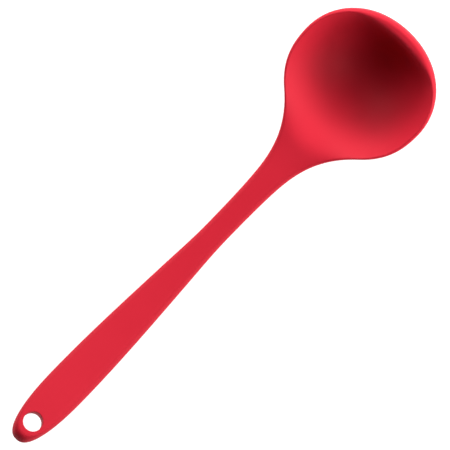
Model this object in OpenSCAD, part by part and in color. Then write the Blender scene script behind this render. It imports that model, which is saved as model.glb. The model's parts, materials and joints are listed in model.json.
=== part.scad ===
// Soup ladle: soft silicone moulded over a stiff nylon skeleton with a steel spine.
// The body is drawn on a flat sheet: s runs along the spine from the handle's end to the
// bowl's tip, y across it, and n out of its open side. The sheet is then bent along the
// spine and laid down on the two places that it rests on: the bowl and the handle.

/* [Outline] */
// Length along the spine, from the handle's end to the bowl's tip
spine_len = 331.4; // [320:0.1:345]
// Distance from the handle's end to the widest part of the grip
grip_s = 45; // [44:1:60]
// Half the width of the grip
grip_w = 12.5; // [11:0.1:15]
// Distance to the middle of the taper
taper_s = 134; // [120:1:150]
// Half the width there
taper_w = 8.95; // [7.5:0.05:10]
// Slope of the outline there
taper_slope = -0.057; // [-0.1:0.001:0]
// Distance to the waist
waist_s = 167.5; // [160:0.5:180]
// Half the width of the waist
waist_w = 7.4; // [6:0.1:9]
// Distance to the neck, where the root starts to flare
neck_s = 206; // [200:1:215]
// Half the width of the neck
neck_w = 8.2; // [7:0.1:10]
// Slope of the outline there
neck_slope = 0.061; // [0:0.001:0.1]
// Distance to the middle of the flare
flare_s = 256; // [252:1:262]
// Half the width there
flare_w = 30.2; // [26:0.1:31]
// Slope of the outline there
flare_slope = 1.06; // [0.8:0.01:1.2]
// Distance to the middle of the bowl
bowl_s = 291.3; // [288:0.1:292]
// Half the width of the bowl
bowl_w = 44.7; // [42:0.1:46]
// Roundness of the handle's end: 2 is an ellipse, more is squarer
end_round = 2.5; // [2:0.1:3]
// Roundness of the bowl's tip
tip_round = 2.08; // [2:0.01:2.5]

/* [Thickness] */
// Height of the crown on the handle's upper face
crown = 0.8; // [0.4:0.1:1.5]
// Thickness of the handle
handle_t = 9.4; // [9:0.1:11]
// Thickness of the neck
neck_t = 10.2; // [9:0.1:12]
// Roundness of the handle's underside: 2 is an ellipse, more is squarer
handle_round = 2.5; // [2:0.1:3]
// Outer depth of the bowl
bowl_h = 40; // [39:0.5:46]
// Roundness of the bowl's outside: 2 is an ellipse, less is slimmer
bowl_round = 1.85; // [1.8:0.05:2.2]
// Inner depth of the bowl
bowl_in = 36; // [30:0.5:37]
// Edge radius along the handle
side_edge = 2.6; // [2:0.1:3]
// Depth of the rounding at the handle's end
end_edge = 7; // [4:0.1:7.2]
// Length of the rounding at the handle's end
end_run = 4.8; // [3.5:0.1:8]
// Edge radius outside the bowl's lip
lip_edge = 2.2; // [1.8:0.1:2.6]

/* [Bowl] */
// Distance from the outline to where the lip starts to roll in
lip_in = 1.5; // [1:0.1:3]
// The same distance at the bowl's tip, where the lip is broader
tip_roll = 5; // [1.5:0.1:6]
// Height above the lip of the inner ellipsoid's centre
mouth_rise = 16; // [15:1:20]
// Softness of the roll over the lip
mouth_soft = 14; // [8:1:14]
// How far the hollow reaches from the bowl's middle towards the handle
hollow_reach = 60; // [54:1:62]
// How far the bowl's outside reaches towards the handle
belly_reach = 53; // [52:1:58]

/* [Bend] */
// Bend of the handle, in degrees over its length
handle_bend = 25.5; // [15:0.5:30]
// Bend of the neck, in degrees
neck_bend = 11.5; // [6:0.5:16]
// Where the neck's bend starts
bend_start = 216; // [212:1:224]
// Where it ends
bend_end = 250; // [244:1:256]

/* [Hanging hole] */
// Distance of the hole's centre from the handle's end
hole_s = 13; // [12:0.5:15]
// Diameter of the hole
hole_d = 11.6; // [10:0.1:12]

/* [Inside] */
// Thickness of the silicone over the nylon
skin_t = 1.3; // [1.2:0.1:1.5]
// Width of the steel strip
strip_w = 7; // [5:0.5:8]
// Thickness of the steel strip
strip_t = 1.2; // [0.8:0.1:1.6]
// Depth of the strip's upper face below the sheet
strip_n = 4.4; // [4:0.1:5]
// Where the strip starts
strip_start = 44; // [40:1:60]
// Where the strip ends
strip_end = 240; // [230:1:244]
// Diameter of the strip's punched holes
punch_d = 3; // [2:0.5:3.5]
// Diameter of the nylon's keying holes
key_d = 4; // [3:0.5:5]

/* [Hidden] */
$fn = 64;
nudge = 20;       // how far a cutter runs past what it cuts
stations = [[grip_s, grip_w, 0], [taper_s, taper_w, taper_slope], [waist_s, waist_w, 0],
            [neck_s, neck_w, neck_slope], [flare_s, flare_w, flare_slope], [bowl_s, bowl_w, 0]];
tip_len = spine_len - bowl_s;
punches = [70, 110, 150, 190];            // distances of the punched holes
keys = [[30, 0], [250, 9], [250, -9]];    // places of the keying holes
roll_from = 0.4;                          // where the lip starts to broaden: cos^2 from the tip
deepening = 1.5;                          // power that eases the bowl's depth in from the neck
belly_soft = 6;                           // softness of the join of neck and bowl underneath
rest_from = 60;                           // the handle may rest from here on
rest_span = 30;                           // how far from its middle the bowl may rest
first_tilt = 20;                          // the resting tilt is sought from here,
tilt_rounds = 8;                          // in this many rounds
strip_steps = 40;                         // lengths that the strip's curve is drawn in
// smoothness: [steps in the end's fan, length of a step along the spine, steps in the tip's
// fan, steps across the top, round the edge and across the underside]
fine = [8, 7.5, 13, 9, 4, 9];
coarse = [6, 12, 9, 6, 2, 6];

// ---- the outline: cubic curves through the stations, with a rounded cap at each end
function cubic(s, a, b) =
    let (h = b[0] - a[0], t = (s - a[0]) / h)
    (2*t^3 - 3*t^2 + 1) * a[1] + (t^3 - 2*t^2 + t) * h * a[2]
    + (3*t^2 - 2*t^3) * b[1] + (t^3 - t^2) * h * b[2];
function half_width(s, i = 0) =
    s <= stations[i + 1][0] || i + 2 == len(stations) ? cubic(s, stations[i], stations[i + 1])
    : half_width(s, i + 1);
function cap(len, wide, round, turn) =
    [len * abs(cos(turn)) ^ (2 / round), wide * abs(sin(turn)) ^ (2 / round)];
function ramp(s, a, b) = let (t = min(max((s - a) / (b - a), 0), 1)) t * t * (3 - 2*t);
function mix(a, b, t) = a + (b - a) * t;

// ---- the depths along the centre line
function soft_max(a, b, k) = max(a, b) + max(k - abs(a - b), 0) ^ 2 / (4 * k);
function towards_handle(s, reach) = max(1 - ((bowl_s - s) / reach) ^ 2, 0) ^ deepening;
function belly(s) =
    soft_max(mix(handle_t, neck_t, ramp(s, taper_s, neck_s)),
             bowl_h * towards_handle(s, belly_reach), belly_soft);
function hollow(s) = (bowl_in + mouth_rise) * towards_handle(s, hollow_reach);

// ---- rows: each goes from a point on the centre line out to the outline, and holds
// [centre's s, s and y of the outline from there, depth of belly, of hollow, edge, edge's run,
// crown, roundness of belly, lip's distance in], with the outline drawn in by the inset
function end_row(i, f, inset) =
    let (turn = 90 * i / f[0], p = cap(grip_s - inset, grip_w - inset, end_round, turn),
         t = cos(turn) ^ 2)
    [grip_s, -p[0], p[1], belly(grip_s), 0, mix(side_edge, end_edge, t),
     mix(side_edge, end_run, t), crown, handle_round, lip_in];
function body_row(s, inset) =
    let (t = ramp(s, neck_s, flare_s), edge = mix(side_edge, lip_edge, t))
    [s, 0, half_width(s) - inset, belly(s), hollow(s), edge, edge, crown * (1 - t),
     mix(handle_round, bowl_round, t), lip_in];
function tip_row(i, f, inset) =
    let (p = cap(tip_len - inset, bowl_w - inset, tip_round, 90 - 90 * i / f[2]),
         ahead = (p[0] / norm(p)) ^ 2)
    [bowl_s, p[0], p[1], bowl_h, bowl_in + mouth_rise, lip_edge, lip_edge, 0, bowl_round,
     mix(lip_in, tip_roll, ramp(ahead, roll_from, 1))];
function body_steps(f) = ceil((bowl_s - grip_s) / f[1]);
function side_rows(f, inset) =
    let (count = body_steps(f))
    concat([for (i = [0:f[0] - 1]) end_row(i, f, inset)],
           [for (i = [0:count]) body_row(mix(grip_s, bowl_s, i / count), inset)],
           [for (i = [1:f[2]]) tip_row(i, f, inset)]);

// ---- columns: a row's points across the top, round the edge and back under
function columns(f) = f[3] + f[4] + f[5];
function out_and_level(row, k, f, inset) =
    let (reach = norm([row[1], row[2]]), edge = row[5] - inset, run = row[6] - inset)
    k <= f[3] ? let (r = (reach - run) * sin(90 * k / f[3])) [r, top_level(row, r, reach, inset)]
    : k <= f[3] + f[4] ?
        let (turn = 90 * (k - f[3]) / f[4], r = reach - run + run * sin(turn))
        [r, top_level(row, r, reach, inset) - edge * (1 - cos(turn))]
    : let (p = cap(reach, row[3] - row[5] - inset, row[8], 90 * (k - f[3] - f[4]) / f[5]))
        [p[0], -row[5] - p[1]];
function top_level(row, r, reach, inset) =
    let (mouth = reach + inset - row[9],
         inner = (row[4] + inset) * sqrt(max(1 - (r / (mouth + inset)) ^ 2, 0)) - mouth_rise)
    row[7] * (1 - (r / reach) ^ 2) - soft_max(inset, inner, mouth_soft);
function row_point(row, k, f, inset, side) =
    let (p = out_and_level(row, k, f, inset), reach = norm([row[1], row[2]]),
         at = bent(row[0] + p[0] * row[1] / reach, p[1]))
    [at[0], side * p[0] * row[2] / reach, at[1]];

// ---- bending: the bowl stays flat, the neck and the handle are arcs
neck_r = (bend_end - bend_start) / (neck_bend * PI / 180);
handle_r = bend_start / (handle_bend * PI / 180);
function slope_at(s) =
    s >= bend_end ? 0
    : s >= bend_start ? -neck_bend * (bend_end - s) / (bend_end - bend_start)
    : -neck_bend - handle_bend * (bend_start - s) / bend_start;
function arc_step(r, from, to) = r * [sin(to) - sin(from), cos(from) - cos(to)];
function spine_at(s) =
    s >= bend_end ? [s - bend_end, 0]
    : s >= bend_start ? arc_step(neck_r, 0, slope_at(s))
    : arc_step(neck_r, 0, -neck_bend) + arc_step(handle_r, -neck_bend, slope_at(s));
function bent(s, n) = spine_at(s) + n * [-sin(slope_at(s)), cos(slope_at(s))];

// ---- the closed surface: a ring of rows, which share their points on the centre line
function ring(f) =
    let (last = f[0] + body_steps(f) + f[2])
    concat([for (i = [0:last]) [i, 1]], [for (i = [last - 1:-1:1]) [i, -1]]);
function centre_of(i, f) = min(max(i - f[0], 0), body_steps(f));
function shell_points(f, inset) =
    let (rows = side_rows(f, inset), last = columns(f), at = f[0])
    concat([for (j = ring(f), k = [1:last - 1]) row_point(rows[j[0]], k, f, inset, j[1])],
           [for (k = [0, last], i = [0:body_steps(f)]) row_point(rows[at + i], k, f, inset, 1)]);
function shell_faces(f) =
    let (order = ring(f), count = len(order), last = columns(f), shared = count * (last - 1))
    [for (j = [0:count - 1], k = [0:last - 1])
        let (jn = (j + 1) % count,
             id = function (j, k)
                 k == 0 ? shared + centre_of(order[j][0], f)
                 : k == last ? shared + body_steps(f) + 1 + centre_of(order[j][0], f)
                 : j * (last - 1) + k - 1,
             a = id(j, k), b = id(jn, k), c = id(jn, k + 1), d = id(j, k + 1))
        each [if (a != b) [a, c, b], if (c != d) [a, d, c]]];

// ---- resting: the straight line under both the handle and the bowl is laid level
outer = shell_points(fine, 0);
under_handle = [for (s = [rest_from:1:bend_start]) bent(s, -belly(s))];
under_bowl = [for (s = [bowl_s - rest_span:0.5:bowl_s]) bent(s, -belly(s))];
function height(p, tilt) = p[0] * sin(tilt) + p[1] * cos(tilt);
function lowest(points, tilt) =
    let (heights = [for (p = points) height(p, tilt)], low = min(heights))
    points[search(low, heights)[0]];
function settle(tilt, times) =
    let (gap = lowest(under_bowl, tilt) - lowest(under_handle, tilt))
    times == 0 ? tilt : settle(-atan2(gap[1], gap[0]), times - 1);
rest_tilt = settle(first_tilt, tilt_rounds);
xs = [for (p = outer) p[0] * cos(rest_tilt) - p[2] * sin(rest_tilt)];
rest_shift = [-(min(xs) + max(xs)) / 2, 0, -min([for (p = outer) height([p[0], p[2]], rest_tilt)])];

module at_rest() { translate(rest_shift) rotate([0, -rest_tilt, 0]) children(); }
module on_sheet(s, y, n) {
    at = bent(s, n);
    translate([at[0], y, at[1]]) rotate([0, -slope_at(s), 0]) children();
}
module shell(f, inset) { polyhedron(shell_points(f, inset), shell_faces(f), convexity = 6); }
module drill(s, y, d) { on_sheet(s, y, 0) cylinder(d = d, h = 2 * nudge, center = true); }

// Nylon skeleton before the steel's place is taken out of it
module skeleton() {
    difference() {
        shell(coarse, skin_t);
        for (k = keys) drill(k[0], k[1], key_d);
        drill(hole_s, 0, hole_d + 2 * skin_t);
    }
}

module silicone_skin() {
    color("crimson") at_rest() difference() {
        shell(fine, 0);
        skeleton();
        drill(hole_s, 0, hole_d);
    }
}

module nylon_core() {
    color("dimgray") at_rest() difference() {
        skeleton();
        spine();
    }
}

// Punched strip, drawn in side view along the spine
module spine() {
    places = [for (i = [0:strip_steps]) mix(strip_start, strip_end, i / strip_steps)];
    upper = [for (s = places) bent(s, -strip_n)];
    lower = [for (i = [strip_steps:-1:0]) bent(places[i], -strip_n - strip_t)];
    difference() {
        rotate([90, 0, 0]) linear_extrude(strip_w, center = true) polygon(concat(upper, lower));
        for (s = punches) drill(s, 0, punch_d);
    }
}

module steel_spine() {
    color("silver") at_rest() spine();
}

silicone_skin();
nylon_core();
steel_spine();
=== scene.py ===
import json
import math

import bpy
import numpy as np
from mathutils import Matrix, Vector


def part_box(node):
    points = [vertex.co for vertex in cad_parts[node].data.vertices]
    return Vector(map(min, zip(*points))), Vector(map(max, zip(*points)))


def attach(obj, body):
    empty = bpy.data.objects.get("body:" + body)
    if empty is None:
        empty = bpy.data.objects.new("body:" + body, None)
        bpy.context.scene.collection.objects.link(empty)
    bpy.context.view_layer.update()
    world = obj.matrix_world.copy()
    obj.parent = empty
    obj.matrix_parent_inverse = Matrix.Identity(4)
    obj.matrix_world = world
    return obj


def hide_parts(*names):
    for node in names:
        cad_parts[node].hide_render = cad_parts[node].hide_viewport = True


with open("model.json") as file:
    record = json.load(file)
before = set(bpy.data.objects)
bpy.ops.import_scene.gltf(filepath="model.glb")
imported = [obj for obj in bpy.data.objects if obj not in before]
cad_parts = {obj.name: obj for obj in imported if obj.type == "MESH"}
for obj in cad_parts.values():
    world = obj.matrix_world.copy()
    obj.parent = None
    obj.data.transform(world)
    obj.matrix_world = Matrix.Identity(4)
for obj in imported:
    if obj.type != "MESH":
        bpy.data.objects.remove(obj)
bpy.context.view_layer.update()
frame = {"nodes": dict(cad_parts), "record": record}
print("frame loaded", sorted(frame["nodes"]))

colourInputs, colourOutput = (6, 7), 2  # a Mix node's colour sockets come after its other kinds


# an expression on Wires adds its nodes to the material
class Wire:
    def __init__(self, tree, socket):
        self.tree, self.socket = tree, socket

    def isColour(self):
        return self.socket.type in ("RGBA", "VECTOR")

    def combine(self, operation, first, second):
        if any(isinstance(x, Wire) and x.isColour() for x in (first, second)):
            spread = [(x, x, x) if isinstance(x, (int, float)) else x for x in (first, second)]
            return addNode(self.tree, "ShaderNodeVectorMath", {"operation": operation}, spread)
        return addNode(self.tree, "ShaderNodeMath", {"operation": operation}, [first, second])

    def __add__(self, other):
        return self.combine("ADD", self, other)

    def __radd__(self, other):
        return self.combine("ADD", other, self)

    def __sub__(self, other):
        return self.combine("SUBTRACT", self, other)

    def __rsub__(self, other):
        return self.combine("SUBTRACT", other, self)

    def __mul__(self, other):
        return self.combine("MULTIPLY", self, other)

    def __rmul__(self, other):
        return self.combine("MULTIPLY", other, self)

    def tint(self, low, high):  # from one colour to another as the value goes from 0 to 1
        a, b = colourInputs
        return addNode(self.tree, "ShaderNodeMix", {"data_type": "RGBA"},
                       {"Factor": self, a: low + (1,), b: high + (1,)}, colourOutput)


def addNode(tree, kind, settings, values, output=0):
    node = tree.nodes.new(kind)
    for name, value in settings.items():
        setattr(node, name, value)
    pairs = values.items() if isinstance(values, dict) else enumerate(values)
    for key, value in pairs:
        if isinstance(value, Wire):
            tree.links.new(value.socket, node.inputs[key])
        else:
            node.inputs[key].default_value = value
    return Wire(tree, node.outputs[output])


def newMaterial(name):
    material = bpy.data.materials.new(name)
    material.use_nodes = True
    tree = material.node_tree
    shader = tree.nodes["Principled BSDF"]
    place = addNode(tree, "ShaderNodeTexCoord", {}, {}, output="Object")
    return material, tree, shader, place


def noise(tree, place, scale, detail=3.0, roughness=0.5):
    return addNode(tree, "ShaderNodeTexNoise", {"noise_dimensions": "3D"},
                   {"Vector": place, "Scale": scale, "Detail": detail, "Roughness": roughness})


def bump(tree, height):  # height in metres
    return addNode(tree, "ShaderNodeBump", {}, {"Height": height, "Strength": 1.0, "Distance": 1.0})


def fill(shader, values):
    for name, value in values.items():
        socket = shader.inputs[name]
        if isinstance(value, Wire):
            shader.id_data.links.new(value.socket, socket)
        else:
            socket.default_value = value


# the ladle's outer form, in millimetres along its spine, across it and out of it
ladle = {
    "length": 331.4,
    # places along the spine: distance from the handle's end, half-width, slope of the outline
    "grip": (45.0, 12.5, 0.0), "taper": (134.0, 8.95, -0.057), "waist": (167.5, 7.4, 0.0),
    "neck": (206.0, 8.2, 0.061), "flare": (256.0, 30.2, 1.06), "bowl": (291.3, 44.7, 0.0),
    "endRound": 2.5, "tipRound": 2.08, "handleRound": 2.5, "bowlRound": 1.85,
    "crown": 0.8, "handleThick": 9.4, "neckThick": 10.2,
    "bellySoft": 10.0,  # fuller under the neck than the CAD's 6, so that the nylon stays covered
    "bowlDeep": 40.0, "bellyReach": 53.0, "bowlInner": 36.0, "hollowReach": 60.0, "deepening": 1.5,
    "sideEdge": 2.6, "endEdge": 7.0, "endRun": 4.8, "lipEdge": 2.2,
    "lipIn": 1.5, "tipRoll": 5.0, "rollFrom": 0.4, "mouthRise": 16.0, "mouthSoft": 14.0,
    "handleBend": 25.5, "neckBend": 11.5, "bendStart": 216.0, "bendEnd": 250.0,
    "holeAt": 13.0, "holeHalf": 5.8, "holeEdge": 0.3}
# how finely it is drawn
mesh = {
    "joinAt": 28.0,  # the handle's end is drawn round the hanging hole up to here
    "step": 2.2, "tipSteps": 40, "across": 16, "edge": 8, "rays": 72, "raySteps": 18,
    "holeEdgeSteps": 5, "wallSteps": 4}
gripAt, gripHalf = ladle["grip"][:2]
bowlAt, bowlHalf = ladle["bowl"][:2]
taperAt, neckAt, flareAt = ladle["taper"][0], ladle["neck"][0], ladle["flare"][0]
halfCount = mesh["across"] + mesh["edge"]
justPast = 1e-7  # keeps the fan's points on the tip's side of the bowl's middle
almostOut = 0.999  # just inside the outline, where the section's sizes are read


def ramp(s, low, high):
    t = min(max((s - low) / (high - low), 0), 1)
    return t * t * (3 - 2 * t)


def mix(a, b, t):
    return a + (b - a) * t


def softMax(a, b, k):
    return max(a, b) + max(k - abs(a - b), 0) ** 2 / (4 * k)


def cubic(s, a, b):  # between two places of the outline
    run = b[0] - a[0]
    t = (s - a[0]) / run
    return ((2 * t**3 - 3 * t**2 + 1) * a[1] + (t**3 - 2 * t**2 + t) * run * a[2]
            + (3 * t**2 - 2 * t**3) * b[1] + (t**3 - t**2) * run * b[2])


def superEllipse(x, power):  # height of a unit superellipse at x
    return (1 - min(max(x, 0), 1) ** power) ** (1 / power)


def capAt(turn, long, wide, power):  # a point of a superelliptic cap
    along, across = math.sin(turn), math.cos(turn)
    side = -1 if across < 0 else 1
    return long * abs(along) ** (2 / power), side * wide * abs(across) ** (2 / power)


def halfWidth(s):
    if s < gripAt:
        return gripHalf * superEllipse((gripAt - s) / gripAt, ladle["endRound"])
    if s > bowlAt:
        return bowlHalf * superEllipse((s - bowlAt) / (ladle["length"] - bowlAt), ladle["tipRound"])
    places = [ladle[name] for name in ("grip", "taper", "waist", "neck", "flare", "bowl")]
    return next(cubic(s, a, b) for a, b in zip(places, places[1:]) if s <= b[0])


def towardsHandle(s, reach):
    return max(1 - ((bowlAt - s) / reach) ** 2, 0) ** ladle["deepening"]


def belly(s):
    thick = mix(ladle["handleThick"], ladle["neckThick"], ramp(s, taperAt, neckAt))
    return softMax(thick, ladle["bowlDeep"] * towardsHandle(s, ladle["bellyReach"]), ladle["bellySoft"])


def section(s, y):
    # the section's sizes at a point of the sheet, with how far out from the spine the outline is
    # there ("reach") and how far out the point is ("out")
    p = ladle
    inner = p["bowlInner"] + p["mouthRise"]
    if s < gripAt:
        long, across, power = gripAt - s, abs(y), p["endRound"]
        out = math.hypot(long, across)
        size = ((long / gripAt) ** power + (across / gripHalf) ** power) ** (1 / power)
        t = (long / gripAt / size) ** power
        return {"reach": out / size, "out": out, "edge": mix(p["sideEdge"], p["endEdge"], t),
                "run": mix(p["sideEdge"], p["endRun"], t), "deep": belly(gripAt), "hollow": 0.0,
                "crown": p["crown"], "round": p["handleRound"], "lip": p["lipIn"]}
    if s > bowlAt:
        long, across, power = s - bowlAt, abs(y), p["tipRound"]
        out = math.hypot(long, across)
        size = ((long / (p["length"] - bowlAt)) ** power + (across / bowlHalf) ** power) ** (1 / power)
        ahead = ramp((long / out) ** 2, p["rollFrom"], 1)
        return {"reach": out / size, "out": out, "edge": p["lipEdge"], "run": p["lipEdge"],
                "deep": p["bowlDeep"], "hollow": inner, "crown": 0.0, "round": p["bowlRound"],
                "lip": mix(p["lipIn"], p["tipRoll"], ahead)}
    t = ramp(s, neckAt, flareAt)
    edge = mix(p["sideEdge"], p["lipEdge"], t)
    return {"reach": halfWidth(s), "out": abs(y), "edge": edge, "run": edge, "deep": belly(s),
            "hollow": inner * towardsHandle(s, p["hollowReach"]), "crown": p["crown"] * (1 - t),
            "round": mix(p["handleRound"], p["bowlRound"], t), "lip": p["lipIn"]}


def topLevel(s, y):
    q = section(s, y)
    inside = math.sqrt(max(1 - (q["out"] / (q["reach"] - q["lip"])) ** 2, 0))
    sunk = softMax(0.0, q["hollow"] * inside - ladle["mouthRise"], ladle["mouthSoft"])
    rounding = min(max((q["out"] - q["reach"] + q["run"]) / q["run"], 0), 1)
    return (q["crown"] * (1 - min(q["out"] / q["reach"], 1) ** 2) - sunk
            - q["edge"] * (1 - math.sqrt(1 - rounding ** 2)))


def underLevel(s, y):
    q = section(s, y)
    return -q["edge"] - (q["deep"] - q["edge"]) * superEllipse(q["out"] / q["reach"], q["round"])


def slopeAt(s):  # of the spine in side view, in radians, with the bowl's rim level
    p = ladle
    if s >= p["bendEnd"]:
        return 0.0
    if s >= p["bendStart"]:
        return -math.radians(p["neckBend"]) * (p["bendEnd"] - s) / (p["bendEnd"] - p["bendStart"])
    return -math.radians(p["neckBend"] + p["handleBend"] * (p["bendStart"] - s) / p["bendStart"])


def arc(radius, start, end):
    return Vector((radius * (math.sin(end) - math.sin(start)), radius * (math.cos(start) - math.cos(end))))


def spineAt(s):
    p = ladle
    neckTurn = math.radians(p["neckBend"])
    neckRadius = (p["bendEnd"] - p["bendStart"]) / neckTurn
    if s >= p["bendEnd"]:
        return Vector((s - p["bendEnd"], 0.0))
    if s >= p["bendStart"]:
        return arc(neckRadius, 0, slopeAt(s))
    handleRadius = p["bendStart"] / math.radians(p["handleBend"])
    return arc(neckRadius, 0, -neckTurn) + arc(handleRadius, -neckTurn, slopeAt(s))


def bent(s, y, n):
    x, z = spineAt(s) + n * Vector((-math.sin(slopeAt(s)), math.cos(slopeAt(s))))
    return x, y, z


class Skin:  # collects points of the sheet and the faces between them
    def __init__(self):
        self.points, self.faces = [], []

    def put(self, s, y, n):
        self.points.append(bent(s, y, n))
        return len(self.points) - 1

    def sew(self, one, two, closed=True):  # two lines of points, side by side
        for i in range(len(one) if closed else len(one) - 1):
            j = (i + 1) % len(one)
            quad = [one[j], one[i], two[i], two[j]]
            face = [q for k, q in enumerate(quad) if q != quad[k - 1]]
            if len(face) > 2:
                self.faces.append(face)

    def sewLines(self, lines):
        for one, two in zip(lines, lines[1:]):
            self.sew(one, two)


def quarter(k, count):  # of a turn
    return math.pi / 2 * k / count


def outAt(k, reach, run):  # how far out the points lie from the crest to the edge, closer at the edge
    if k <= mesh["across"]:
        return (reach - run) * math.sin(quarter(k, mesh["across"]))
    return reach - run * (1 - math.sin(quarter(k - mesh["across"], mesh["edge"])))


def underAt(k, reach, power):  # and from the edge to the keel
    return reach * math.cos(quarter(k, halfCount)) ** (2 / power)


def halfRing(s):  # (y, n) of a section's right half, from the crest round the edge to the keel
    q, reach = section(s, 0.0), halfWidth(s)
    run = section(s, reach * almostOut)["run"]
    top = [outAt(k, reach, run) for k in range(halfCount)]
    under = [underAt(k, reach, q["round"]) for k in range(halfCount + 1)]
    return [(y, topLevel(s, y)) for y in top] + [(y, underLevel(s, y)) for y in under]


def buildSkin():
    skin = Skin()
    count = math.ceil((bowlAt - mesh["joinAt"]) / mesh["step"])
    rings = []
    for i in range(count + 1):
        s = mix(mesh["joinAt"], bowlAt, i / count)
        half = halfRing(s)
        right = [skin.put(s, y, level) for y, level in half]
        left = [skin.put(s, -y, level) for y, level in half[1:-1]]
        rings.append(right + left[::-1])
    skin.sewLines(rings)
    buildTip(skin, rings[-1])
    buildEnd(skin, rings[0])
    return skin


def buildTip(skin, ring):
    # a fan of half sections about the bowl's middle, from its right side round to its left
    half = len(ring) // 2
    lines = [ring[:half + 1]]
    for i in range(1, mesh["tipSteps"]):
        x, y = capAt(math.pi * i / mesh["tipSteps"], ladle["length"] - bowlAt, bowlHalf, ladle["tipRound"])
        reach = math.hypot(x, y)
        line = [ring[0]]
        for k in range(1, half):
            top = k < halfCount
            r = (outAt(k, reach, ladle["lipEdge"]) if top
                 else underAt(k - halfCount, reach, ladle["bowlRound"]))
            s, across = bowlAt + justPast + x * r / reach, y * r / reach
            line.append(skin.put(s, across, topLevel(s, across) if top else underLevel(s, across)))
        lines.append(line + [ring[half]])
    lines.append([ring[0]] + ring[:half - 1:-1])
    for one, two in zip(lines, lines[1:]):
        skin.sew(one, two, closed=False)


def buildEnd(skin, ring):
    # rays run from the outline and the first section in to the hanging hole, above and below, and
    # the hole's rounded edges and its wall join the two
    p, n, half = ladle, halfCount, len(ring) // 2
    above = [ring[k] for k in range(n, 0, -1)] + [ring[0]] + [ring[-k] for k in range(1, n + 1)]
    below = ring[n:half + 1] + [ring[-k] for k in range(half - 1, n - 1, -1)]
    start = math.acos(min(1, (halfWidth(mesh["joinAt"]) / gripHalf) ** (p["endRound"] / 2)))
    outline = []
    for i in range(1, mesh["rays"]):
        x, y = capAt(mix(math.pi - start, start, i / mesh["rays"]), gripAt, gripHalf, p["endRound"])
        outline.append((gripAt - x, y))
    end = [skin.put(s, y, -section(s, y)["edge"]) for s, y in outline]
    rim = p["holeHalf"] + p["holeEdge"]

    def hub(radius, turn):
        return p["holeAt"] + radius * math.cos(turn), radius * math.sin(turn)

    def rays(first, level):
        places = [(mesh["joinAt"], skin.points[i][1]) for i in first] + outline
        turns = [math.atan2(y, s - p["holeAt"]) for s, y in places]
        inner = [hub(rim, turn) for turn in turns]
        lines = [first + end]
        for i in range(1, mesh["raySteps"] + 1):
            f = math.cos(quarter(i, mesh["raySteps"]))
            spots = [(mix(a[0], b[0], f), mix(a[1], b[1], f)) for a, b in zip(inner, places)]
            lines.append([skin.put(s, y, level(s, y)) for s, y in spots])
        return lines, turns, [level(s, y) for s, y in inner]

    topLines, topTurns, topLevels = rays(above, topLevel)
    underLines, underTurns, underLevels = rays(below, underLevel)

    def rounding(turns, levels, side):  # from the flat face into the hole
        lines = []
        for i in range(1, mesh["holeEdgeSteps"] + 1):
            a = quarter(i, mesh["holeEdgeSteps"])
            radius, sunk = rim - p["holeEdge"] * math.sin(a), p["holeEdge"] * (1 - math.cos(a))
            lines.append([skin.put(*hub(radius, t), level - side * sunk) for t, level in zip(turns, levels)])
        return lines

    topRounding = rounding(topTurns, topLevels, 1)
    underRounding = rounding(underTurns, underLevels, -1)
    wall = []
    for i in range(1, mesh["wallSteps"]):
        f = i / mesh["wallSteps"]
        wall.append([skin.put(*hub(p["holeHalf"], mix(a, b, f)),
                              mix(high - p["holeEdge"], low + p["holeEdge"], f))
                     for a, b, high, low in zip(topTurns, underTurns, topLevels, underLevels)])
    skin.sewLines(topLines + topRounding + wall + underRounding[::-1] + underLines[::-1])


def placeAtRest(points):
    # the hanging hole's axis in the record says how the ladle leans, and the CAD node's box where it lies
    hole = next(m for m in frame["record"]["mounts"] if m["name"] == "hanging_hole")
    lean = -math.atan2(hole["axis"][0], hole["axis"][2]) - slopeAt(ladle["holeAt"])
    low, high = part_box("silicone_skin")
    pts = np.array(points) / 1000
    x = pts[:, 0] * math.cos(lean) - pts[:, 2] * math.sin(lean)
    z = pts[:, 0] * math.sin(lean) + pts[:, 2] * math.cos(lean)
    x += (low.x + high.x - x.min() - x.max()) / 2
    z += low.z - z.min()
    return np.c_[x, pts[:, 1], z]


skin = buildSkin()
places = placeAtRest(skin.points)
skinMesh = bpy.data.meshes.new("siliconeSkin")
skinMesh.from_pydata([tuple(v) for v in places], [], skin.faces)
skinMesh.validate()
skinObject = bpy.data.objects.new("ladle_skin", skinMesh)
bpy.context.scene.collection.objects.link(skinObject)
for face in skinMesh.polygons:
    face.use_smooth = True
print("skin", len(skinMesh.vertices), "points", len(skinMesh.polygons), "faces")
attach(skinObject, "root")
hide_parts("silicone_skin")


# materials
silicone = {
    "deep": (0.420, 0.0090, 0.0215), "light": (0.450, 0.0110, 0.0250),  # cloudy pigment, between two reds
    "clouds": 22.0, "roughness": 0.62, "wear": 0.07, "specular": 0.12,
    "grain": 2600.0, "grainDeep": 0.00002, "waves": 60.0, "wavesDeep": 0.00004}
nylon = {
    "dark": (0.030, 0.030, 0.034), "light": (0.075, 0.074, 0.078),
    "streaks": 700.0, "stretch": (0.12, 1.0, 1.0),  # flecks of glass fibre
    "roughness": 0.55, "wear": 0.2, "metal": 0.0, "deep": 0.00003}
steel = {
    "dark": (0.46, 0.46, 0.45), "light": (0.66, 0.66, 0.64),
    "streaks": 900.0, "stretch": (0.02, 1.0, 1.0),  # lines left by the rolling
    "roughness": 0.32, "wear": 0.2, "metal": 1.0, "deep": 0.00001}


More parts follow.
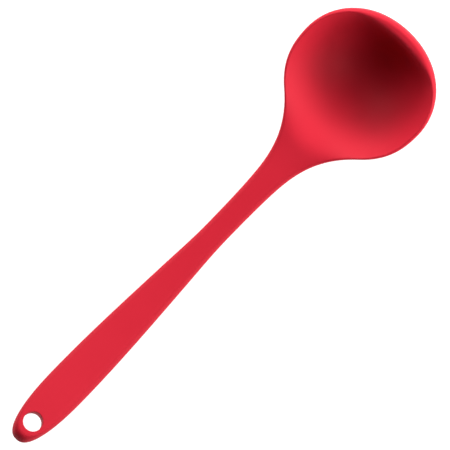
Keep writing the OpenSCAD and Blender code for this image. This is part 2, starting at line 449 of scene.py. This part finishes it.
def siliconeMaterial(p):
    material, tree, shader, place = newMaterial("redSilicone")
    clouds = noise(tree, place, p["clouds"])
    waves = noise(tree, place, p["waves"], detail=1.0)
    grain = noise(tree, place, p["grain"], detail=2.0)
    fill(shader, {
        "Base Color": clouds.tint(p["deep"], p["light"]),
        "Roughness": p["roughness"] + p["wear"] * (waves - 0.5),
        "Normal": bump(tree, p["grainDeep"] * grain + p["wavesDeep"] * waves),
        "Specular IOR Level": p["specular"]})
    return material


def streakedMaterial(name, p):  # streaks that run along X
    material, tree, shader, place = newMaterial(name)
    along = addNode(tree, "ShaderNodeMapping", {}, {"Vector": place, "Scale": p["stretch"]})
    streaks = noise(tree, along, p["streaks"], detail=4.0)
    fill(shader, {
        "Base Color": streaks.tint(p["dark"], p["light"]), "Metallic": p["metal"],
        "Roughness": p["roughness"] + p["wear"] * (streaks - 0.5),
        "Normal": bump(tree, p["deep"] * streaks)})
    return material


skinMesh.materials.append(siliconeMaterial(silicone))
for node, material in (("nylon_core", streakedMaterial("filledNylon", nylon)),
                       ("steel_spine", streakedMaterial("rolledSteel", steel))):
    data = frame["nodes"][node].data
    data.materials.clear()
    data.materials.append(material)
print("materials done")


# floor, light and camera
studio = {
    "floor": 3.0, "floorColour": (0.3, 0.3, 0.3, 1), "floorGlow": 0.82, "world": 0.04,
    "aim": (0.09, 0.0, 0.03), "away": 0.9, "across": 0.35,
    # direction seen from above (0 is +X), height in degrees, watts; each one off the axis has a twin
    "lamps": {"lowSide": (70, 16, 5.2), "midSide": (70, 28, 1.6), "highSide": (70, 42, 3.2),
              "front": (0, 28, 4.1), "frontSide": (35, 32, 2.8), "backSide": (100, 18, 1.5),
              "back": (180, 58, 0.2)}}
view = {"distance": 2.0, "turn": 45.93, "across": 0.2642, "over": (0.0101, -0.0007)}


def buildFloor():
    half = studio["floor"]
    data = bpy.data.meshes.new("floor")
    corners = [(-half, -half, 0), (half, -half, 0), (half, half, 0), (-half, half, 0)]
    data.from_pydata(corners, [], [(0, 1, 2, 3)])
    floor = bpy.data.objects.new("floor", data)
    bpy.context.scene.collection.objects.link(floor)
    material, tree, shader, place = newMaterial("floor")
    fill(shader, {
        "Base Color": studio["floorColour"], "Roughness": 0.9,
        "Emission Color": (1, 1, 1, 1), "Emission Strength": studio["floorGlow"]})
    data.materials.append(material)


def addLamp(name, direction, height, watts):
    light = bpy.data.lights.new(name, "AREA")
    light.shape, light.size, light.energy = "DISK", studio["across"], watts
    lamp = bpy.data.objects.new(name, light)
    turn, rise = math.radians(direction), math.radians(height)
    away = Vector((math.cos(turn) * math.cos(rise), math.sin(turn) * math.cos(rise), math.sin(rise)))
    lamp.location = Vector(studio["aim"]) + away * studio["away"]
    lamp.rotation_euler = away.to_track_quat("Z", "Y").to_euler()
    bpy.context.scene.collection.objects.link(lamp)


buildFloor()
for name, (direction, height, watts) in studio["lamps"].items():
    addLamp(name, direction, height, watts)
    if direction % 180:
        addLamp(name + "Twin", -direction, height, watts)
world = bpy.data.worlds.new("studio")
world.use_nodes = True
world.node_tree.nodes["Background"].inputs[0].default_value = (1, 1, 1, 1)
world.node_tree.nodes["Background"].inputs[1].default_value = studio["world"]
bpy.context.scene.world = world
bpy.context.scene.view_settings.view_transform = "Standard"
print("studio done")

camera = bpy.data.objects.new("camera", bpy.data.cameras.new("camera"))
bpy.context.scene.collection.objects.link(camera)
bpy.context.scene.camera = camera
camera.data.angle = 2 * math.atan(view["across"] / 2 / view["distance"])
turn = math.radians(view["turn"])
# the ladle's +X goes up and to the right in the view
camera.matrix_world = Matrix.Translation(view["over"] + (view["distance"],)) @ Matrix.Rotation(-turn, 4, "Z")
